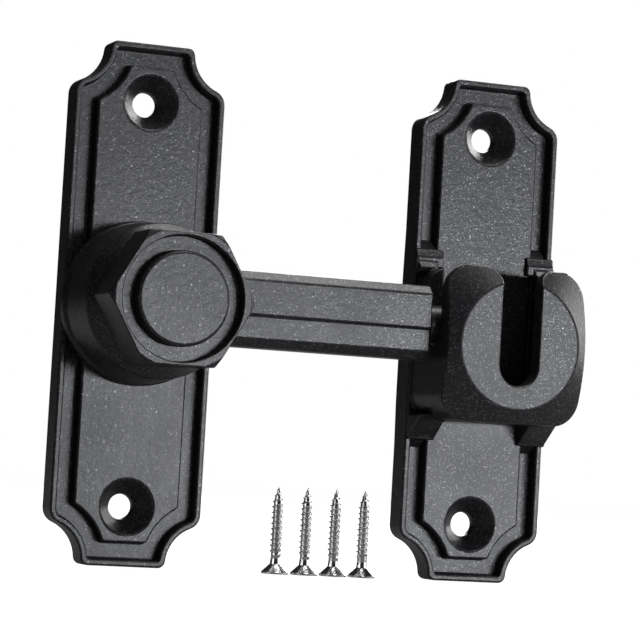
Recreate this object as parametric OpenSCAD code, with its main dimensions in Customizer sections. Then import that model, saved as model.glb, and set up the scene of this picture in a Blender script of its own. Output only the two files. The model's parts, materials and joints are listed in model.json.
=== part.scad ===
// Flip-over bar latch: a pivoting bar on a door plate drops into a keeper on a second plate.
// Each piece is drawn lying flat, with its Z as the height above the door's surface,
// and in_use() then stands it up: +X from the pivot to the keeper, +Z up, -Y out of the door.

/* [Plates] */
// Width of each mounting plate
plate_w = 31; // [30:0.5:36]
// Height of each mounting plate
plate_h = 103.5; // [98:0.5:130]
// Thickness of each mounting plate
plate_t = 6; // [5:0.5:8]
// Distance from the pivot to the keeper plate's centre line
plate_pitch = 73.9; // [70:0.1:90]
// Radius of the concave notch at each plate corner
notch_r = 7.8; // [5:0.1:8]
// Rounding where a notch meets the side of the plate
side_cusp_r = 3; // [1.5:0.1:3.2]
// Rounding where a notch meets the end of the plate
end_cusp_r = 1.5; // [1:0.1:2]
// Width of the raised rim round the plate's face
rim_w = 1.35; // [1:0.05:1.6]
// Width of the groove inside the rim
groove_w = 3.4; // [2.6:0.1:3.6]
// Depth of the groove inside the rim
groove_d = 2.9; // [1:0.1:3.5]

/* [Wood screw holes] */
// Height between the two screw holes of a plate
hole_pitch = 80; // [76:1:90]
// Radius of the through hole
hole_r = 2.45; // [2:0.05:2.8]
// Radius of the countersink at the plate's face
sink_r = 5.5; // [4.5:0.1:6]
// Depth of the countersink
sink_d = 4; // [3:0.1:4.5]

/* [Pivot] */
// Radius of the fixed collar under the hub
collar_r = 16.2; // [16:0.1:18]
// Thickness of the fixed collar
collar_t = 3; // [2:0.1:4]
// Radius of the turning hub at its base
hub_r = 15.8; // [15.4:0.1:16]
// Height of the hub's face above the door
hub_top = 24; // [23:0.5:26]
// Radius of the pivot bolt
bolt_r = 3; // [2.5:0.1:3.2]
// Radial clearance between the bush and the bolt
bush_gap = 0.05; // [0.02:0.01:0.1]

/* [Knob] */
// Distance across the flats of the hexagonal knob
knob_af = 25.2; // [25:0.1:27]
// Height of the knob's face above the door
knob_top = 34.6; // [34:0.1:37]
// Radius of the round recess in the knob's face
recess_r = 12; // [11.6:0.1:12.2]
// Depth of the round recess
recess_d = 2.8; // [2:0.1:3]
// Radius of the cap that stands in the recess
cap_r = 9.1; // [8.5:0.1:9.6]
// Height of the cap's face above the knob's face
cap_proud = 0.3; // [0:0.1:1]

/* [Bar] */
// Height of the bar, seen from the front
bar_h = 15; // [13:0.5:15.5]
// Thickness of the bar
bar_t = 7.9; // [7.5:0.1:8.2]
// Height of the bar's centre line above the door
bar_level = 15.9; // [15.5:0.1:16.2]
// Width of the bevels along the bar's front edges
bar_bevel = 1.7; // [1:0.1:2]
// Height of the step along the bar's front face
bar_step = 0.6; // [0.3:0.1:0.8]
// Radius of the neck that lies in the keeper's side slot
neck_r = 3.8; // [3:0.1:3.9]
// Radius of the head that the keeper holds
head_r = 6; // [5.5:0.1:6.2]
// Thickness of the head
head_t = 5; // [3:0.5:6]

/* [Keeper] */
// Width of the keeper's block
block_w = 30.4; // [29:0.2:30.8]
// Height of the keeper's block
block_h = 31.2; // [30:0.2:32]
// Corner radius of the block
block_corner = 5.3; // [4:0.1:6]
// Height of the block's centre relative to the pivot
block_z = -3.5; // [-5:0.1:-3.3]
// Height of the block's face above the jamb
block_top = 26; // [25:0.1:27]
// Radius of the flat round face of the block
face_r = 12.9; // [12:0.1:13.5]
// Slope of the bevel around the round face, in degrees
face_slope = 30; // [20:1:35]
// Thickness of the block's front wall
front_wall = 3.8; // [3.7:0.1:3.9]
// Thickness of the block's side and bottom walls
side_wall = 4.1; // [3.6:0.1:4.2]
// Width of the slots in the block's front and side
slot_w = 8.4; // [8:0.1:9]

/* [Screws] */
// Radius of the machine screws inside the latch
screw_r = 1.5; // [1.25:0.05:1.6]
// Length of a wood screw
wood_len = 17.5; // [16:0.5:30]
// Radius of a wood screw's head
wood_head_r = 2.75; // [2.6:0.05:2.9]
// Radius of a wood screw's thread
wood_r = 1.5; // [1.2:0.05:1.8]
// Distance between the wood screws
wood_pitch = 6.2; // [6:0.1:6.5]

/* [Hidden] */
$fn = 96;
// Overlap that keeps joined and cut solids from sharing a face
eps = 0.01;
// Levels above the door's surface
groove_level = plate_t - groove_d;
inner_cusp_r = 0.8;
notch_out = 1;
notch_drop = 0.8;
notch_steps = 10;
cusp_steps = 5;
collar_top = plate_t + collar_t;
washer_t = 0.65;
washer_recess = 0.4;
washer_top = collar_top - washer_recess + washer_t;
hub_base = washer_top + 0.05;
bush_flange_t = 1;
bush_top = hub_base + 11.7;
spring_base = bush_top + 0.05;
spring_free = 1;
spring_t = 0.55;
nut_washer_base = spring_base + spring_free + 0.05;
nut_washer_t = 1;
nut_base = nut_washer_base + nut_washer_t;
nut_t = 5.2;
bolt_top = nut_base + nut_t + 0.8;
recess_level = knob_top - recess_d;
// Radii inside the pivot
bush_r = bolt_r + 1;
hub_draft = 0.7;
shoulder = 3.4;
bush_flange_r = 6.8;
washer_r = 6.9;
spring_r = 6.4;
nut_washer_r = 6.2;
nut_af = 10;
well_r = 7.6;
bolt_head_r = 6;
hole_gap = 0.1;
knob_screw_at = 10;
knob_screw_end = 27.5;
pin_r = 1.25;
pin_at = 12.4;
// Lengths along the bar
bar_end = plate_pitch - block_w / 2 - 1.6;
head_start = plate_pitch - block_w / 2 + side_wall + 1.6;
spigot_r = 2;
spigot_len = 12;
// Keeper details
cavity_w = block_w - 2 * side_wall;
cavity_top = block_top - front_wall;
front_slot_low = block_z - 4;
ear_r = 3.4;
foot_in = 9.4;
foot_out = plate_w / 2;
foot_level = plate_t + 1.2;
foot_high = 16;
foot_low = -22.8;
pad_lip = 0.3;
pad_bevel = 1.7;
pad_fillet = 1.2;
tongue_past = 2.1;
gusset_level = 12;
keeper_screw_x = plate_w / 2 - rim_w - groove_w / 2;
keeper_screw_z = [8, -14];
keeper_screw_end = 10.5;
screw_head_r = 2 * screw_r;
// Loose wood screws, standing on their heads between the plates
wood_first = [31, -8];
wood_count = 4;

// Stands a flat-drawn piece up against the door
module in_use(x = 0) {
    translate([x, 0, 0]) rotate([90, 0, 0]) children();
}

// A solid of revolution about a vertical axis, from its half profile
module turned(profile) {
    rotate_extrude() polygon(profile);
}

// Plain round bar or hole between two levels
module rod(r, low, high) {
    translate([0, 0, low]) cylinder(r = r, h = high - low);
}

// Countersunk screw with its head's face at a level, pointing up
module sunk_screw(r, head_r, low, high) {
    turned([[0, low], [head_r, low], [r, low + head_r - r], [r, high], [0, high]]);
}

// Points along an arc between two angles, both ends included
function arc(centre, r, from, to, steps) =
    [for (i = [0:steps]) let (a = from + (to - from) * i / steps) centre + r * [cos(a), sin(a)]];

// Points in reverse order
function reversed(points) = [for (i = [len(points) - 1:-1:0]) points[i]];

// Points of an outline scaled by 1 or -1 along each axis
function flipped(points, x, y) = [for (p = points) [x * p[0], y * p[1]]];

// One corner of the plate: a concave notch that runs into the side and the end by round cusps.
// w and h are the outline's half sizes, and inset is its distance inside the outer edge.
function plate_corner(w, h, inset) =
    let (
        notch = [plate_w / 2 + notch_out, plate_h / 2 - notch_drop],
        r = notch_r + inset,
        side_r = max(side_cusp_r - inset, inner_cusp_r),
        end_r = max(end_cusp_r - inset, inner_cusp_r),
        side_rise = notch[0] - w + side_r,
        side_run = sqrt(pow(r + side_r, 2) - pow(side_rise, 2)),
        end_rise = notch[1] - h + end_r,
        end_run = sqrt(pow(r + end_r, 2) - pow(end_rise, 2)),
        side_angle = atan2(side_run, side_rise),
        end_angle = atan2(end_rise, end_run),
        notch_arc = arc(notch, r, 180 + side_angle, 180 + end_angle, notch_steps)
    )
    concat(
        arc([w - side_r, notch[1] - side_run], side_r, 0, side_angle, cusp_steps),
        [for (i = [1:notch_steps - 1]) notch_arc[i]],
        arc([notch[0] - end_run, h - end_r], end_r, end_angle, 90, cusp_steps)
    );

// Plate outline, drawn a distance inside the outer edge
module plate_outline(inset = 0) {
    corner = plate_corner(plate_w / 2 - inset, plate_h / 2 - inset, inset);
    polygon(concat(corner, reversed(flipped(corner, -1, 1)), flipped(corner, -1, -1),
        reversed(flipped(corner, 1, -1))));
}

// Mounting plate with its rim, groove, raised panel and two countersunk holes
module mounting_plate() {
    difference() {
        linear_extrude(plate_t) plate_outline();
        translate([0, 0, groove_level]) linear_extrude(plate_t) difference() {
            plate_outline(rim_w);
            plate_outline(rim_w + groove_w);
        }
        for (end = [-1, 1]) translate([0, end * hole_pitch / 2, 0]) {
            rod(hole_r, -eps, plate_t + eps);
            turned([[0, plate_t - sink_d], [hole_r, plate_t - sink_d], [sink_r, plate_t],
                [sink_r, plate_t + eps], [0, plate_t + eps]]);
        }
    }
}

module door_plate() {
    color("dimgray") in_use() difference() {
        mounting_plate();
        sunk_screw(bolt_r, bolt_head_r, 0, plate_t + eps);
        for (side = [-1, 1]) {
            translate([side * pin_at * sin(60), pin_at * cos(60), 0]) rod(pin_r, 1, plate_t + eps);
        }
    }
}

module base_collar() {
    color("dimgray") in_use() difference() {
        turned([[bolt_r, plate_t], [collar_r, plate_t], [collar_r, collar_top - 0.8],
            [collar_r - 0.8, collar_top], [bolt_r, collar_top]]);
        rod(washer_r + hole_gap, collar_top - washer_recess, collar_top + eps);
        for (side = [-1, 1]) {
            translate([side * pin_at * sin(60), pin_at * cos(60), 0]) rod(pin_r, 1, collar_top - 1);
        }
    }
}

module collar_pins() {
    color("silver") in_use() for (side = [-1, 1]) {
        translate([side * pin_at * sin(60), pin_at * cos(60), 0]) rod(pin_r, 1, collar_top - 1);
    }
}

module pivot_bolt() {
    color("silver") in_use() sunk_screw(bolt_r, bolt_head_r, 0, bolt_top);
}

module thrust_washer() {
    color("ivory") in_use() difference() {
        rod(washer_r, collar_top - washer_recess, washer_top);
        rod(bolt_r, 0, bolt_top);
    }
}

// Bar section across its length: first coordinate up the door, second the level
module bar_section() {
    back = bar_level - bar_t / 2;
    front = bar_level + bar_t / 2;
    half = bar_h / 2;
    step_at = -1.2;
    polygon([[-half, back], [half, back], [half, front - bar_bevel], [half - bar_bevel, front],
        [step_at, front], [step_at, front - bar_step], [bar_bevel - half, front - bar_step],
        [-half, front - bar_bevel - bar_step]]);
}

module latch_arm() {
    color("dimgray") in_use() difference() {
        union() {
            turned([[0, hub_base], [hub_r - 0.5, hub_base], [hub_r, hub_base + 0.5],
                [hub_r - hub_draft, hub_top - shoulder], [knob_af / 2, hub_top], [0, hub_top]]);
            rotate([90, 0, 90]) linear_extrude(bar_end) bar_section();
        }
        rod(bush_r, 0, hub_top);
        rod(well_r, bush_top - bush_flange_t, hub_top + eps);
        for (side = [-1, 1]) translate([0, side * knob_screw_at, 0]) {
            sunk_screw(screw_r, screw_head_r, hub_base + 0.2, hub_top + eps);
            rod(screw_head_r, hub_base - eps, hub_base + 0.2);
        }
        translate([bar_end - spigot_len, 0, bar_level]) rotate([0, 90, 0])
            cylinder(r = spigot_r, h = spigot_len + eps);
    }
}

module pivot_bush() {
    color("ivory") in_use() difference() {
        union() {
            rod(bush_r, hub_base + 0.1, bush_top);
            rod(bush_flange_r, bush_top - bush_flange_t, bush_top);
        }
        rod(bolt_r + bush_gap, 0, bolt_top);
    }
}

// Turned stud in the end of the bar: spigot, neck and head
module bar_stud() {
    soft = 0.8;
    color("dimgray") in_use() translate([0, 0, bar_level]) rotate([0, 90, 0])
        turned([[0, bar_end - spigot_len], [spigot_r, bar_end - spigot_len], [spigot_r, bar_end],
            [neck_r, bar_end], [neck_r, head_start], [head_r - soft, head_start],
            [head_r, head_start + soft], [head_r, head_start + head_t - soft],
            [head_r - soft, head_start + head_t], [0, head_start + head_t]]);
}

module disc_spring() {
    top = spring_base + spring_free;
    color("silver") in_use() turned([[bolt_r + hole_gap, top - spring_t],
        [spring_r, spring_base], [spring_r, spring_base + spring_t], [bolt_r + hole_gap, top]]);
}

module nut_washer() {
    color("silver") in_use() difference() {
        rod(nut_washer_r, nut_washer_base, nut_base);
        rod(bolt_r + hole_gap, 0, bolt_top);
    }
}

module lock_nut() {
    crown = 1.4;
    color("silver") in_use() difference() {
        union() {
            translate([0, 0, nut_base]) cylinder(d = nut_af / cos(30), h = nut_t - crown, $fn = 6);
            rod(nut_af / 2 - 0.4, nut_base, nut_base + nut_t);
        }
        rod(bolt_r, 0, bolt_top + eps);
    }
}

module hex_knob() {
    bevel = 0.5;
    color("dimgray") in_use() difference() {
        intersection() {
            translate([0, 0, hub_top]) cylinder(d = knob_af / cos(30), h = knob_top - hub_top, $fn = 6);
            turned([[0, hub_top], [knob_af, hub_top], [knob_af, knob_top - knob_af + 14 - bevel],
                [14 - bevel, knob_top], [0, knob_top]]);
        }
        rod(well_r, hub_top - eps, knob_top);
        rod(recess_r, recess_level, knob_top + eps);
        for (side = [-1, 1]) translate([0, side * knob_screw_at, 0]) {
            rod(screw_r, hub_top - eps, knob_screw_end);
        }
    }
}

module knob_screws() {
    color("silver") in_use() for (side = [-1, 1]) translate([0, side * knob_screw_at, 0]) {
        sunk_screw(screw_r, screw_head_r, hub_base + 0.2, knob_screw_end);
    }
}

module knob_cap() {
    spigot = 2;
    wall = 1.2;
    top = knob_top + cap_proud;
    color("dimgray") in_use() turned([[0, recess_level], [well_r - wall, recess_level],
        [well_r - wall, recess_level - spigot], [well_r, recess_level - spigot],
        [well_r, recess_level], [cap_r, recess_level], [cap_r, top - 0.4], [cap_r - 0.4, top],
        [0, top]]);
}

module keeper_plate() {
    color("dimgray") in_use(plate_pitch) difference() {
        mounting_plate();
        for (side = [-1, 1], z = keeper_screw_z) translate([side * keeper_screw_x, z, 0]) {
            sunk_screw(screw_r, screw_head_r, 0, plate_t);
        }
    }
}

module rounded_rectangle(w, h, r) {
    square([w, h - 2 * r], center = true);
    square([w - 2 * r, h], center = true);
    for (x = [-1, 1], y = [-1, 1]) translate([x * (w / 2 - r), y * (h / 2 - r)]) circle(r = r);
}

// Slot with a round bottom at y = low and straight sides up to y = high
module round_slot(w, low, high) {
    translate([0, low]) circle(d = w);
    translate([-w / 2, low]) square([w, high - low]);
}

// Block of the keeper, bevelled round its flat face
module keeper_block() {
    reach = block_w;
    drop = (reach - face_r) * tan(face_slope);
    translate([0, block_z, 0]) intersection() {
        translate([0, 0, plate_t]) linear_extrude(block_top - plate_t)
            rounded_rectangle(block_w, block_h, block_corner);
        turned([[0, 0], [reach, 0], [reach, block_top - drop], [face_r, block_top], [0, block_top]]);
    }
}

// Solid with a constant outline across the keeper, drawn as [height on the door, level]
module across(from, wide) {
    translate([from, 0, 0]) rotate([90, 0, 90]) linear_extrude(wide) children();
}

// One foot of the keeper: bevelled pad on the plate, ramped tongue in its groove,
// gusset below the block and fillet above it
module keeper_foot() {
    block_low = block_z - block_h / 2;
    block_high = block_z + block_h / 2;
    tongue_in = plate_w / 2 - rim_w - groove_w;
    across(foot_in, foot_out - foot_in) {
        polygon([[foot_low, plate_t], [foot_high, plate_t], [foot_high, plate_t + pad_lip],
            [foot_high - pad_bevel, foot_level], [foot_low, foot_level]]);
        polygon([[foot_low, foot_level - eps], [block_low + 1, foot_level - eps],
            [block_low + 1, gusset_level + 2], [block_low, gusset_level]]);
    }
    across(tongue_in, groove_w)
        polygon([[foot_low - tongue_past, groove_level], [foot_high + tongue_past, groove_level],
            [foot_high, plate_t], [foot_low, plate_t]]);
    across(cavity_w / 2, block_w / 2 - cavity_w / 2)
        polygon([[block_high - 1, foot_level - eps], [block_high + pad_fillet, foot_level - eps],
            [block_high, foot_level + pad_fillet], [block_high - 1, foot_level + pad_fillet]]);
}

module keeper_body() {
    top = block_z + block_h / 2 + eps;
    ear_at = slot_w / 2 + ear_r;
    color("dimgray") in_use(plate_pitch) difference() {
        union() {
            keeper_block();
            for (side = [0, 1]) mirror([side, 0, 0]) keeper_foot();
        }
        // Hollow that takes the head, open at the top
        translate([-cavity_w / 2, block_z - block_h / 2 + side_wall, plate_t - eps])
            cube([cavity_w, block_h - side_wall + eps, cavity_top - plate_t + eps]);
        // Slot in the front face, with its upper corners rounded
        translate([0, 0, cavity_top - eps]) linear_extrude(front_wall + 1) {
            round_slot(slot_w, front_slot_low, top);
            difference() {
                translate([-ear_at, top - ear_r]) square([2 * ear_at, ear_r]);
                for (side = [-1, 1]) translate([side * ear_at, top - ear_r]) circle(r = ear_r);
            }
        }
        // Slot in the side wall for the neck
        translate([-block_w / 2 - eps, 0, bar_level]) rotate([90, 0, 90])
            linear_extrude(side_wall + 2 * eps) mirror([1, -1]) round_slot(slot_w, 0, top);
        for (side = [-1, 1], z = keeper_screw_z) translate([side * keeper_screw_x, z, 0]) {
            rod(screw_r, 0, keeper_screw_end);
        }
    }
}

module keeper_screws() {
    color("silver") in_use(plate_pitch) for (side = [-1, 1], z = keeper_screw_z) {
        translate([side * keeper_screw_x, z, 0])
            sunk_screw(screw_r, screw_head_r, 0, keeper_screw_end);
    }
}

// Countersunk wood screw standing on its head
module wood_screw() {
    rim = 0.4;
    turned([[0, 0], [wood_head_r, 0], [wood_head_r, rim], [wood_r, wood_head_r - wood_r + rim],
        [wood_r, wood_len - 2.5 * wood_r], [0.15, wood_len], [0, wood_len]]);
}

module wood_screws() {
    color("silver") for (i = [0:wood_count - 1]) {
        translate([wood_first[0] + i * wood_pitch, wood_first[1], -plate_h / 2]) wood_screw();
    }
}

door_plate();
base_collar();
collar_pins();
pivot_bolt();
thrust_washer();
latch_arm();
pivot_bush();
bar_stud();
disc_spring();
nut_washer();
lock_nut();
hex_knob();
knob_screws();
knob_cap();
keeper_plate();
keeper_body();
keeper_screws();
wood_screws();
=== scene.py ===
import json
import math
import bmesh
import bpy
from mathutils import Matrix, Vector

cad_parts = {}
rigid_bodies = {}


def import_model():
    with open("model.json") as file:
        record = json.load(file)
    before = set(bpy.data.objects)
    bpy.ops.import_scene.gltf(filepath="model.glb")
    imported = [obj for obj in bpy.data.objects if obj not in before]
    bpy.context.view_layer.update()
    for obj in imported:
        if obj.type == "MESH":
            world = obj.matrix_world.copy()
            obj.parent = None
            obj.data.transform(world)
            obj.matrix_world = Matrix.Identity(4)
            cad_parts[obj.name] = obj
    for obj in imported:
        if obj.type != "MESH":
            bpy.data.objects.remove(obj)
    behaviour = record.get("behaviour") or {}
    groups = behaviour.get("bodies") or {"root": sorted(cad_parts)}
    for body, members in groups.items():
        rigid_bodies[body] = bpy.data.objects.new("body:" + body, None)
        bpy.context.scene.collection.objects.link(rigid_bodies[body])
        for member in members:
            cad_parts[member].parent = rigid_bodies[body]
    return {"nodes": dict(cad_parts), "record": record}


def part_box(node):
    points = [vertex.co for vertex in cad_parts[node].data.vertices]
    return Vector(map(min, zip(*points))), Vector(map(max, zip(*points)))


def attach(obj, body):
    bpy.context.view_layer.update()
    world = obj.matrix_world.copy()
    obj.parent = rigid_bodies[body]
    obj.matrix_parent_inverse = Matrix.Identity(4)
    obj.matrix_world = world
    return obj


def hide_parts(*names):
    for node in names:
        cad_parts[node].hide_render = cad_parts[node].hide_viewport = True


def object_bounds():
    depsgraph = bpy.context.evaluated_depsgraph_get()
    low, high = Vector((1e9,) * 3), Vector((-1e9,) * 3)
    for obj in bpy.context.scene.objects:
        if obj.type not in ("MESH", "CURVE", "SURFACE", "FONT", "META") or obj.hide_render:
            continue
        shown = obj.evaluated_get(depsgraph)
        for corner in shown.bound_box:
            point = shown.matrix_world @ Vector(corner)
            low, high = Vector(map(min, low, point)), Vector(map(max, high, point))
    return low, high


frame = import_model()
cadLow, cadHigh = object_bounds()
nodes = frame["nodes"]
mm = 0.001
print("frame loaded:", len(nodes), "nodes")


cameraSetup = {
    "place": (-0.1602, -0.5268, -0.0316),  # metres, in front of the door and left of the pivot
    "turnRight": 20.87,  # degrees from straight at the door
    "tiltUp": 3.21,
    "roll": 3.28,
    "lens": 155.3,  # mm, on a 36 mm sensor
}


def makeCamera(setup):
    turn, tilt, roll = (math.radians(setup[k]) for k in ("turnRight", "tiltUp", "roll"))
    ahead = Vector((math.sin(turn) * math.cos(tilt), math.cos(turn) * math.cos(tilt),
                    math.sin(tilt)))
    level = ahead.cross(Vector((0, 0, 1))).normalized()
    upright = level.cross(ahead)
    right = level * math.cos(roll) + upright * math.sin(roll)
    up = upright * math.cos(roll) - level * math.sin(roll)
    data = bpy.data.cameras.new("camera")
    data.lens = setup["lens"]
    data.sensor_width = 36
    data.clip_start = 0.01
    data.clip_end = 20  # metres, past the floor's far edge
    camera = bpy.data.objects.new("camera", data)
    bpy.context.scene.collection.objects.link(camera)
    camera.matrix_world = Matrix.LocRotScale(
        Vector(setup["place"]), Matrix((right, up, -ahead)).transposed().to_quaternion(), None
    )
    bpy.context.scene.camera = camera


makeCamera(cameraSetup)

lightSetup = {
    # name: place, point it faces, width and height, watts, tint
    "keySoftbox": (
        (0.43, -0.95, -0.016), (0.045, -0.02, -0.03), (0.50, 0.063), 4.05, (0.945, 0.965, 1.0),
    ),
    "topFill": ((0.35, 0.05, 1.1), (0.03, 0, 0), (0.8, 0.8), 8.5, (1.0, 1.0, 1.0)),
    "frontFill": ((0.25, -0.8, 1.0), (0.03, 0, 0), (0.4, 0.4), 1.5, (1.0, 1.0, 1.0)),
    "sideFill": ((1.2, 0.15, 0.25), (0.03, 0, 0), (0.9, 0.9), 12.0, (1.0, 1.0, 1.0)),
    "backFill": ((0.75, 1.15, 0.45), (0.03, 0, 0), (0.9, 0.9), 20.0, (1.0, 1.0, 1.0)),
}


def makeLights(setup):
    for name, (place, aim, size, watts, tint) in setup.items():
        data = bpy.data.lights.new(name, "AREA")
        data.shape = "RECTANGLE"
        data.size, data.size_y = size
        data.energy = watts
        data.color = tint
        lamp = bpy.data.objects.new(name, data)
        lamp.location = place
        lamp.rotation_mode = "QUATERNION"
        lamp.rotation_quaternion = (Vector(aim) - Vector(place)).to_track_quat("-Z", "Y")
        bpy.context.scene.collection.objects.link(lamp)


makeLights(lightSetup)

# Small lights that only the bright screws receive
screwLightSetup = {
    "screwLeft": ((-0.33, -0.11, 0.22), (0.040, -0.008, -0.045), (0.36, 0.8), 1.3, (1.0, 1.0, 1.0)),
    "screwRight": ((0.38, -0.23, 0.22), (0.040, -0.008, -0.045), (0.40, 0.8), 1.4, (1.0, 1.0, 1.0)),
}
makeLights(screwLightSetup)

roomSetup = {
    "seenWhite": 1.0,  # backdrop that the camera sees
    "softGlow": 0.02,  # light that the room gives the latch
    "floorSize": 6.0,
    "floorGlow": 0.985,  # floor that the camera sees
    "floorBounce": 0.11,  # light that the floor gives the latch
    "floorGrey": 0.08,
    "floorDrop": 0.0001,  # below the latch's lowest point
}


def makeRoom(setup):
    world = bpy.data.worlds.new("room")
    bpy.context.scene.world = world
    world.use_nodes = True
    tree = world.node_tree
    tree.nodes.clear()
    rays = tree.nodes.new("ShaderNodeLightPath")
    seen = tree.nodes.new("ShaderNodeBackground")
    seen.inputs["Strength"].default_value = setup["seenWhite"]
    seen.inputs["Color"].default_value = (1, 1, 1, 1)
    glow = tree.nodes.new("ShaderNodeBackground")
    glow.inputs["Color"].default_value = (1, 1, 1, 1)
    glow.inputs["Strength"].default_value = setup["softGlow"]
    mix = tree.nodes.new("ShaderNodeMixShader")
    out = tree.nodes.new("ShaderNodeOutputWorld")
    tree.links.new(rays.outputs["Is Camera Ray"], mix.inputs[0])
    tree.links.new(glow.outputs[0], mix.inputs[1])
    tree.links.new(seen.outputs[0], mix.inputs[2])
    tree.links.new(mix.outputs[0], out.inputs[0])

    bm = bmesh.new()
    bmesh.ops.create_grid(bm, x_segments=2, y_segments=2, size=setup["floorSize"] / 2)
    bmesh.ops.translate(bm, verts=bm.verts, vec=(0, 0, cadLow.z - setup["floorDrop"]))
    mesh = bpy.data.meshes.new("floor")
    bm.to_mesh(mesh)
    bm.free()
    floor = bpy.data.objects.new("floor", mesh)
    bpy.context.scene.collection.objects.link(floor)
    paint = bpy.data.materials.new("floorPaint")
    paint.use_nodes = True
    shader = paint.node_tree.nodes["Principled BSDF"]
    shader.inputs["Base Color"].default_value = (*[setup["floorGrey"]] * 3, 1)
    shader.inputs["Roughness"].default_value = 0.9
    shader.inputs["Specular IOR Level"].default_value = 0.1
    rays = paint.node_tree.nodes.new("ShaderNodeLightPath")
    glowing = paint.node_tree.nodes.new("ShaderNodeMath")
    glowing.operation = "MULTIPLY_ADD"
    glowing.inputs[1].default_value = setup["floorGlow"] - setup["floorBounce"]
    glowing.inputs[2].default_value = setup["floorBounce"]
    shader.inputs["Emission Color"].default_value = (1, 1, 1, 1)
    paint.node_tree.links.new(rays.outputs["Is Camera Ray"], glowing.inputs[0])
    paint.node_tree.links.new(glowing.outputs[0], shader.inputs["Emission Strength"])
    mesh.materials.append(paint)


makeRoom(roomSetup)
view = bpy.context.scene.view_settings
view.view_transform = "Standard"
print("camera, lights and floor made")


# Materials: shared node groups first, then the four finishes
def newGroup(name, numbers, outputs):
    group = bpy.data.node_groups.new(name, "ShaderNodeTree")
    for label, value in numbers.items():
        socket = group.interface.new_socket(label, in_out="INPUT", socket_type="NodeSocketFloat")
        socket.default_value = value
    for label, kind in outputs.items():
        group.interface.new_socket(label, in_out="OUTPUT", socket_type=kind)
    return group, group.nodes.new("NodeGroupInput"), group.nodes.new("NodeGroupOutput")


def addNode(tree, kind, **settings):
    node = tree.nodes.new(kind)
    inputs = settings.pop("inputs", {})
    for key, value in settings.items():
        setattr(node, key, value)
    for key, value in inputs.items():
        if isinstance(value, bpy.types.NodeSocket):
            tree.links.new(value, node.inputs[key])
        else:
            node.inputs[key].default_value = value
    return node


# Random glints: a share of the cells of a fine cellular pattern, each with its own tilt
def makeFlakeGroup():
    group, given, out = newGroup(
        "flakes",
        {"Cell Size mm": 0.3, "Share": 0.1, "Spread": 0.35},
        {"Mask": "NodeSocketFloat", "Tilt": "NodeSocketVector", "Cell": "NodeSocketFloat"},
    )
    coords = addNode(group, "ShaderNodeTexCoord")
    scale = addNode(group, "ShaderNodeMath", operation="DIVIDE",
                    inputs={0: 1000.0, 1: given.outputs["Cell Size mm"]})
    cells = addNode(group, "ShaderNodeTexVoronoi", feature="F1",
                    inputs={"Vector": coords.outputs["Object"], "Scale": scale.outputs[0],
                            "Randomness": 1.0})
    split = addNode(group, "ShaderNodeSeparateColor", inputs={0: cells.outputs["Color"]})
    chosen = addNode(group, "ShaderNodeMath", operation="LESS_THAN",
                     inputs={0: split.outputs[0], 1: given.outputs["Share"]})
    near = addNode(group, "ShaderNodeMapRange",
                   inputs={"Value": cells.outputs["Distance"], "From Min": given.outputs["Spread"],
                           "From Max": 0.15, "To Min": 0.0, "To Max": 1.0})
    mask = addNode(group, "ShaderNodeMath", operation="MULTIPLY",
                   inputs={0: chosen.outputs[0], 1: near.outputs[0]})
    tilt = addNode(group, "ShaderNodeVectorMath", operation="SUBTRACT",
                   inputs={0: cells.outputs["Color"], 1: (0.5, 0.5, 0.5)})
    group.links.new(mask.outputs[0], out.inputs["Mask"])
    group.links.new(tilt.outputs[0], out.inputs["Tilt"])
    group.links.new(split.outputs[1], out.inputs["Cell"])
    return group


# Light and dark variation at two scales
def makeMottleGroup():
    group, given, out = newGroup(
        "mottle",
        {"Coarse Size mm": 14.0, "Fine Size mm": 0.8},
        {"Coarse": "NodeSocketFloat", "Fine": "NodeSocketFloat"},
    )
    coords = addNode(group, "ShaderNodeTexCoord")
    for label, detail in (("Coarse", 3.0), ("Fine", 4.0)):
        scale = addNode(group, "ShaderNodeMath", operation="DIVIDE",
                        inputs={0: 1000.0, 1: given.outputs[label + " Size mm"]})
        noise = addNode(group, "ShaderNodeTexNoise",
                        inputs={"Vector": coords.outputs["Object"], "Scale": scale.outputs[0],
                                "Detail": detail, "Roughness": 0.6})
        group.links.new(noise.outputs["Fac"], out.inputs[label])
    return group


flakeGroup = makeFlakeGroup()
mottleGroup = makeMottleGroup()


def useGroup(tree, group, **values):
    node = tree.nodes.new("ShaderNodeGroup")
    node.node_tree = group
    for key, value in values.items():
        node.inputs[key.replace("_", " ")].default_value = value
    return node


def mixColour(tree, factor, first, second, blend="MIX"):
    node = tree.nodes.new("ShaderNodeMix")
    node.data_type = "RGBA"
    node.blend_type = blend
    for socket, value in ((node.inputs[0], factor), (node.inputs[6], first), (node.inputs[7], second)):
        if isinstance(value, bpy.types.NodeSocket):
            tree.links.new(value, socket)
        else:
            socket.default_value = value
    return node.outputs[2]


def blankMaterial(name):
    material = bpy.data.materials.new(name)
    material.use_nodes = True
    tree = material.node_tree
    return material, tree, tree.nodes["Principled BSDF"]


coatLook = {
    "dark": (0.010, 0.010, 0.0115, 1),
    "light": (0.022, 0.022, 0.0245, 1),
    "flake": (0.19, 0.19, 0.20, 1),
    # size of the cells in mm, share of them that glint, and how far a glint spreads in its cell
    "smallFlakes": {"Cell_Size_mm": 0.26, "Share": 0.24, "Spread": 0.62},
    "largeFlakes": {"Cell_Size_mm": 0.55, "Share": 0.08, "Spread": 0.48},
    "glintTurn": 0.22,
    "roughness": 0.33,
}


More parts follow.
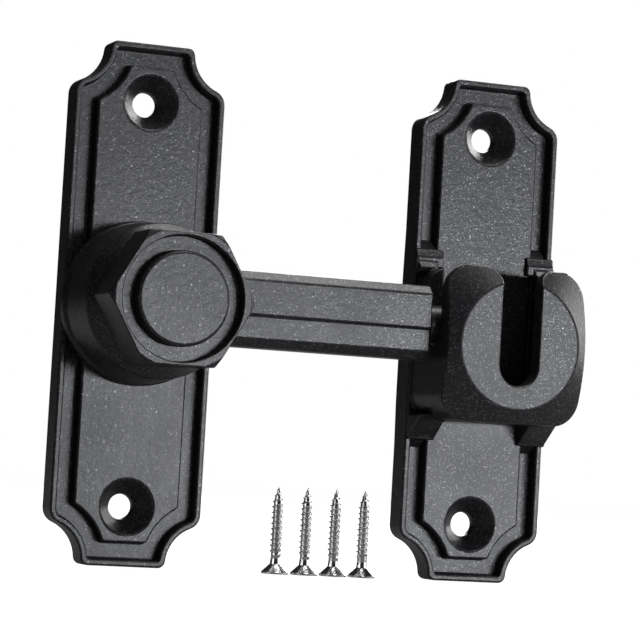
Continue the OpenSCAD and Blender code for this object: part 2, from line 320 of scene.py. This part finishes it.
# Charcoal powder coat with silver sparkle in it
def makePowderCoat(look):
    material, tree, shader = blankMaterial("powderCoat")
    mottle = useGroup(tree, mottleGroup, Coarse_Size_mm=16.0, Fine_Size_mm=1.1)
    grain = useGroup(tree, mottleGroup, Coarse_Size_mm=3.5, Fine_Size_mm=0.35)
    small = useGroup(tree, flakeGroup, **look["smallFlakes"])
    large = useGroup(tree, flakeGroup, **look["largeFlakes"])
    ground = mixColour(tree, grain.outputs["Fine"], look["dark"], look["light"])
    sparkle = addNode(tree, "ShaderNodeMath", operation="MAXIMUM",
                      inputs={0: small.outputs["Mask"], 1: large.outputs["Mask"]})
    colour = mixColour(tree, sparkle.outputs[0], ground, look["flake"])
    tree.links.new(colour, shader.inputs["Base Color"])
    metal = addNode(tree, "ShaderNodeMath", operation="MULTIPLY",
                    inputs={0: sparkle.outputs[0], 1: 0.8})
    tree.links.new(metal.outputs[0], shader.inputs["Metallic"])
    rough = addNode(tree, "ShaderNodeMapRange",
                    inputs={"Value": mottle.outputs["Coarse"], "From Min": 0.3, "From Max": 0.7,
                            "To Min": look["roughness"] - 0.02, "To Max": look["roughness"] + 0.04})
    tree.links.new(rough.outputs[0], shader.inputs["Roughness"])
    wavy = addNode(tree, "ShaderNodeBump",
                   inputs={"Strength": 0.5, "Distance": 0.00011, "Height": mottle.outputs["Fine"]})
    peel = addNode(tree, "ShaderNodeBump",
                   inputs={"Strength": 0.4, "Distance": 0.00005, "Height": grain.outputs["Fine"],
                           "Normal": wavy.outputs[0]})
    turned = addNode(tree, "ShaderNodeMath", operation="MULTIPLY",
                     inputs={0: sparkle.outputs[0], 1: look["glintTurn"]})
    glint = addNode(tree, "ShaderNodeVectorMath", operation="SCALE",
                    inputs={0: small.outputs["Tilt"], "Scale": turned.outputs[0]})
    bent = addNode(tree, "ShaderNodeVectorMath", operation="ADD",
                   inputs={0: peel.outputs[0], 1: glint.outputs[0]})
    unit = addNode(tree, "ShaderNodeVectorMath", operation="NORMALIZE", inputs={0: bent.outputs[0]})
    tree.links.new(unit.outputs[0], shader.inputs["Normal"])
    return material


metalLook = {
    "platedSteel": {"base": (0.56, 0.56, 0.58, 1), "worn": (0.34, 0.34, 0.35, 1), "roughness": 0.30},
    "screwSteel": {"base": (0.86, 0.86, 0.87, 1), "worn": (0.70, 0.70, 0.71, 1), "roughness": 0.14},
}


def makeMetal(name, look):
    material, tree, shader = blankMaterial(name)
    mottle = useGroup(tree, mottleGroup, Coarse_Size_mm=4.0, Fine_Size_mm=0.15)
    colour = mixColour(tree, mottle.outputs["Coarse"], look["base"], look["worn"])
    tree.links.new(colour, shader.inputs["Base Color"])
    shader.inputs["Metallic"].default_value = 1.0
    rough = addNode(tree, "ShaderNodeMapRange",
                    inputs={"Value": mottle.outputs["Fine"], "From Min": 0.3, "From Max": 0.7,
                            "To Min": look["roughness"] - 0.06, "To Max": look["roughness"] + 0.1})
    tree.links.new(rough.outputs[0], shader.inputs["Roughness"])
    bump = addNode(tree, "ShaderNodeBump",
                   inputs={"Strength": 0.2, "Distance": 0.00003, "Height": mottle.outputs["Fine"]})
    tree.links.new(bump.outputs[0], shader.inputs["Normal"])
    return material


def makeNylon():
    material, tree, shader = blankMaterial("nylon")
    mottle = useGroup(tree, mottleGroup, Coarse_Size_mm=3.0, Fine_Size_mm=0.3)
    colour = mixColour(tree, mottle.outputs["Coarse"], (0.84, 0.81, 0.72, 1), (0.76, 0.73, 0.64, 1))
    tree.links.new(colour, shader.inputs["Base Color"])
    shader.inputs["Roughness"].default_value = 0.45
    shader.inputs["Subsurface Weight"].default_value = 0.1
    bump = addNode(tree, "ShaderNodeBump",
                   inputs={"Strength": 0.15, "Distance": 0.00003, "Height": mottle.outputs["Fine"]})
    tree.links.new(bump.outputs[0], shader.inputs["Normal"])
    return material


powderCoat = makePowderCoat(coatLook)
platedSteel = makeMetal("platedSteel", metalLook["platedSteel"])
screwSteel = makeMetal("screwSteel", metalLook["screwSteel"])
nylon = makeNylon()
slotPaint = {"powder_coat": powderCoat, "plated_steel": platedSteel, "nylon": nylon,
             "screw_steel": screwSteel}
nodeSlot = {s["node"]: s["material_slot"] for s in frame["record"]["subparts"]}
bodies = frame["record"]["behaviour"]["bodies"]
nodeBody = {member: body for body, members in bodies.items() for member in members}
print("materials made")


def addPiece(name, bm, body, slot, stands=()):
    mesh = bpy.data.meshes.new(name)
    bm.to_mesh(mesh)
    bm.free()
    mesh.materials.append(slotPaint[slot])
    piece = bpy.data.objects.new(name, mesh)
    bpy.context.scene.collection.objects.link(piece)
    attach(piece, body)
    if stands:
        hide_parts(*stands)
    return piece


def smoothShade(piece, angle=30):
    mesh = piece.data
    mesh.polygons.foreach_set("use_smooth", [True] * len(mesh.polygons))
    mesh.set_sharp_from_angle(angle=math.radians(angle))


# Normals that keep the large faces flat and let only the eased edges turn between them
def cornerNormals(bm, eased):
    near = math.cos(math.radians(24))  # faces that count as one surface
    wide = math.cos(math.radians(60))  # faces that an eased edge may lead into
    normals = []
    for face in bm.faces:
        for vert in face.verts:
            plain = [f for f in vert.link_faces if f not in eased]
            if face in eased:
                chosen = [f for f in plain if f.normal.dot(face.normal) > wide]
                if chosen:
                    best = max(chosen, key=lambda f: (
                        f.normal.dot(face.normal) + 0.01 * f.calc_area() ** 0.5))
                    chosen = [f for f in chosen if f.normal.dot(best.normal) > near]
                else:
                    chosen = list(vert.link_faces)
            else:
                chosen = [f for f in plain if f.normal.dot(face.normal) > near]
            total = Vector()
            for f in chosen:
                total += f.normal * f.calc_area() ** 0.5
            normals.append(total.normalized() if total.length > 0 else face.normal.copy())
    return normals


# Castings: the frame's own shape with every sharp edge eased as a cast and coated edge is
sharpAngle = 22  # degrees between faces, past which an edge is eased
castingLook = {
    # ease: mm taken off an edge; covered: mm about the pivot that other pieces hide
    "door_plate": {"name": "doorPlate", "ease": 0.45, "steps": 3, "covered": 15.5},
    "keeper_plate": {"name": "keeperPlate", "ease": 0.45, "steps": 3},
    "base_collar": {"name": "baseCollar", "ease": 0.4, "steps": 3},
    "latch_arm": {"name": "latchArm", "ease": 0.4, "steps": 3},
    "hex_knob": {"name": "hexKnob", "ease": 0.25, "steps": 3},
    "knob_cap": {"name": "knobCap", "ease": 0.35, "steps": 3},
    "keeper_body": {"name": "keeperBody", "ease": 0.4, "steps": 3},
    "bar_stud": {"name": "barStud", "ease": 0.3, "steps": 3},
}


def easedCopy(nodeName, look):
    bm = bmesh.new()
    bm.from_mesh(nodes[nodeName].data)
    bmesh.ops.remove_doubles(bm, verts=bm.verts, dist=0.002 * mm)
    covered = look.get("covered", 0) * mm
    sharp = [e for e in bm.edges
             if len(e.link_faces) == 2 and e.calc_face_angle() > math.radians(sharpAngle)
             and max(math.hypot(v.co.x, v.co.z) for v in e.verts) >= covered]
    eased = set(bmesh.ops.bevel(
        bm, geom=sharp, offset=look["ease"] * mm, offset_type="OFFSET", segments=look["steps"],
        profile=0.5, affect="EDGES", clamp_overlap=False, material=-1)["faces"])
    low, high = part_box(nodeName)
    for vert in bm.verts:
        vert.co = Vector(min(max(c, a), b) for c, a, b in zip(vert.co, low, high))
    bm.normal_update()
    normals = cornerNormals(bm, eased)
    piece = addPiece(look["name"], bm, nodeBody[nodeName], nodeSlot[nodeName], [nodeName])
    piece.data.polygons.foreach_set("use_smooth", [True] * len(piece.data.polygons))
    piece.data.normals_split_custom_set(normals)
    return piece


for nodeName, look in castingLook.items():
    easedCopy(nodeName, look)
print("castings eased")


# Rings of points round an axis, joined one to the next and closed at both ends
def loftRings(bm, rings, sides, shape=None):
    loops = []
    for height, radius, shaped in rings:
        made = bmesh.ops.create_circle(bm, segments=sides, radius=1, cap_ends=False)["verts"]
        made.sort(key=lambda vert: math.atan2(vert.co.y, vert.co.x))
        for vert in made:
            angle = math.atan2(vert.co.y, vert.co.x)
            reach = shape(angle) if shaped else radius
            vert.co = Vector((math.cos(angle) * reach, math.sin(angle) * reach, height))
        loops.append(made)
    for first, second in zip(loops, loops[1:]):
        for step in range(sides):
            after = (step + 1) % sides
            bm.faces.new((first[step], first[after], second[after], second[step]))
    bm.faces.new(loops[0])
    bm.faces.new(loops[-1])
    bmesh.ops.recalc_face_normals(bm, faces=bm.faces)


# Half width of a cross recess in each direction
def crossRecess(arm, reach):
    def shape(angle):
        across, along = abs(math.sin(angle)) + 1e-9, abs(math.cos(angle)) + 1e-9
        return max(min(reach / along, arm / across), min(arm / along, reach / across))
    return shape


def hexSocket(acrossFlats):
    def shape(angle):
        return acrossFlats / 2 / math.cos((angle % math.radians(60)) - math.radians(30))
    return shape


woodScrewLook = {
    "name": "woodScrew",
    "node": "wood_screws",  # its box gives the row's place and length
    "count": 4,
    "headRadius": 2.75,
    "rim": 0.35,
    "coreRadius": 0.98,
    "crestRadius": 1.32,
    "lead": 1.1,  # rise of one turn of thread
    "threadStart": 2.4,
    "turns": 14,
    "pointStart": 14.2,
    "length": 17.5,
    "steps": 28,
}


# Thread drawn as one turn's outline, swept up a helix and thinned into the neck and the point
def addThread(bm, look):
    core, crest, lead = look["coreRadius"], look["crestRadius"], look["lead"]
    outline = [(core, 0.0), (core, 0.34), (crest, 0.52), (crest, 0.60), (core, 0.78), (core, 1.0)]
    verts = [bm.verts.new((r, 0, look["threadStart"] + part * lead)) for r, part in outline]
    edges = [bm.edges.new(pair) for pair in zip(verts, verts[1:])]
    count = look["steps"] * look["turns"]
    bmesh.ops.spin(bm, geom=verts + edges, cent=(0, 0, 0), axis=(0, 0, 1),
                   dvec=(0, 0, lead / look["steps"]), angle=math.radians(360) * look["turns"],
                   steps=count, use_merge=False, use_normal_flip=False)
    bmesh.ops.remove_doubles(bm, verts=bm.verts, dist=0.001)
    tip = look["length"]
    for vert in bm.verts:
        radius = math.hypot(vert.co.x, vert.co.y)
        if radius < 1e-6:
            continue
        rise = min(max((vert.co.z - look["threadStart"] - lead) / lead, 0), 1)
        thinned = core + (radius - core) * rise
        if vert.co.z > look["pointStart"]:
            left = max(tip - vert.co.z, 0) / (tip - look["pointStart"])
            thinned *= max(left ** 0.8, 0.03)
        vert.co.x *= thinned / radius
        vert.co.y *= thinned / radius
        vert.co.z = min(vert.co.z, tip)


def makeWoodScrews(look):
    low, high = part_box(look["node"])
    first = low.x + look["headRadius"] * mm
    spacing = (high.x - look["headRadius"] * mm - first) / (look["count"] - 1)
    screws = []
    for number in range(look["count"]):
        bm = bmesh.new()
        addThread(bm, look)
        loftRings(bm, [
            (0.9, 0.3, True), (0.0, 0, True), (0.0, look["headRadius"] - 0.08, False),
            (0.08, look["headRadius"], False), (look["rim"], look["headRadius"], False),
            (look["rim"] + 0.12, look["headRadius"] - 0.1, False),
            (look["rim"] + 1.62, look["coreRadius"] + 0.12, False),
            (3.2, look["coreRadius"] - 0.02, False),
        ], 48, crossRecess(0.32, 1.35))
        bmesh.ops.scale(bm, vec=(mm, mm, mm), verts=bm.verts)
        bmesh.ops.rotate(bm, verts=bm.verts, cent=(0, 0, 0),
                         matrix=Matrix.Rotation(math.radians(25 + 40 * number), 3, "Z"))
        bmesh.ops.translate(bm, verts=bm.verts,
                            vec=(first + number * spacing, (low.y + high.y) / 2, low.z))
        piece = addPiece(look["name"] + str(number + 1), bm, nodeBody[look["node"]],
                         nodeSlot[look["node"]], [look["node"]] if number == 0 else ())
        smoothShade(piece, 35)
        screws.append(piece)
    return screws


screwsOnly = bpy.data.collections.new("screwsOnly")
for screw in makeWoodScrews(woodScrewLook):
    screwsOnly.objects.link(screw)
for name in screwLightSetup:
    bpy.data.objects[name].light_linking.receiver_collection = screwsOnly
notScrews = bpy.data.collections.new("notScrews")
for screw in screwsOnly.objects:
    notScrews.objects.link(screw)
for member in notScrews.collection_objects:
    member.light_linking.link_state = "EXCLUDE"
bpy.data.objects["keySoftbox"].light_linking.receiver_collection = notScrews
print("wood screws cut")

fastenerLook = {
    "pivotBolt": {
        "node": "pivot_bolt", "shape": hexSocket(4.0), "recess": 2.4, "head": 6.0, "shank": 3.0,
    },
    "keeperScrew": {
        "node": "keeper_screws", "shape": crossRecess(0.32, 1.5), "recess": 0.9, "head": 3.0,
        "shank": 1.5,
    },
}


# Countersunk fasteners let into the back of a plate, one at each corner of the node's box
def makeFasteners(name, look):
    head, shank = look["head"], look["shank"]
    low, high = (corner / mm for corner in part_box(look["node"]))
    long = high.y - low.y
    places = sorted({(round(x, 2), round(z, 2)) for x in (low.x + head, high.x - head)
                     for z in (low.z + head, high.z - head)})
    for number, (x, z) in enumerate(places):
        bm = bmesh.new()
        loftRings(bm, [
            (look["recess"], 0, True), (0.02, 0, True), (0.02, head - 0.1, False), (0.1, head, False),
            (0.2, head, False), (head - shank + 0.1, shank, False), (long - 0.3, shank, False),
            (long, shank - 0.3, False),
        ], 48, look["shape"])
        bmesh.ops.scale(bm, vec=(mm, mm, mm), verts=bm.verts)
        bmesh.ops.rotate(bm, verts=bm.verts, cent=(0, 0, 0),
                         matrix=Matrix.Rotation(math.radians(90), 3, "X"))
        bmesh.ops.translate(bm, verts=bm.verts, vec=(x * mm, 0, z * mm))
        piece = addPiece(name + str(number + 1), bm, nodeBody[look["node"]], nodeSlot[look["node"]],
                         [look["node"]] if number == 0 else ())
        smoothShade(piece, 35)


for name, look in fastenerLook.items():
    makeFasteners(name, look)
print("fasteners made")


# The frame's own pieces that stay get their finish
for nodeName, part in nodes.items():
    for place in part.material_slots:
        place.material = slotPaint[nodeSlot[nodeName]]
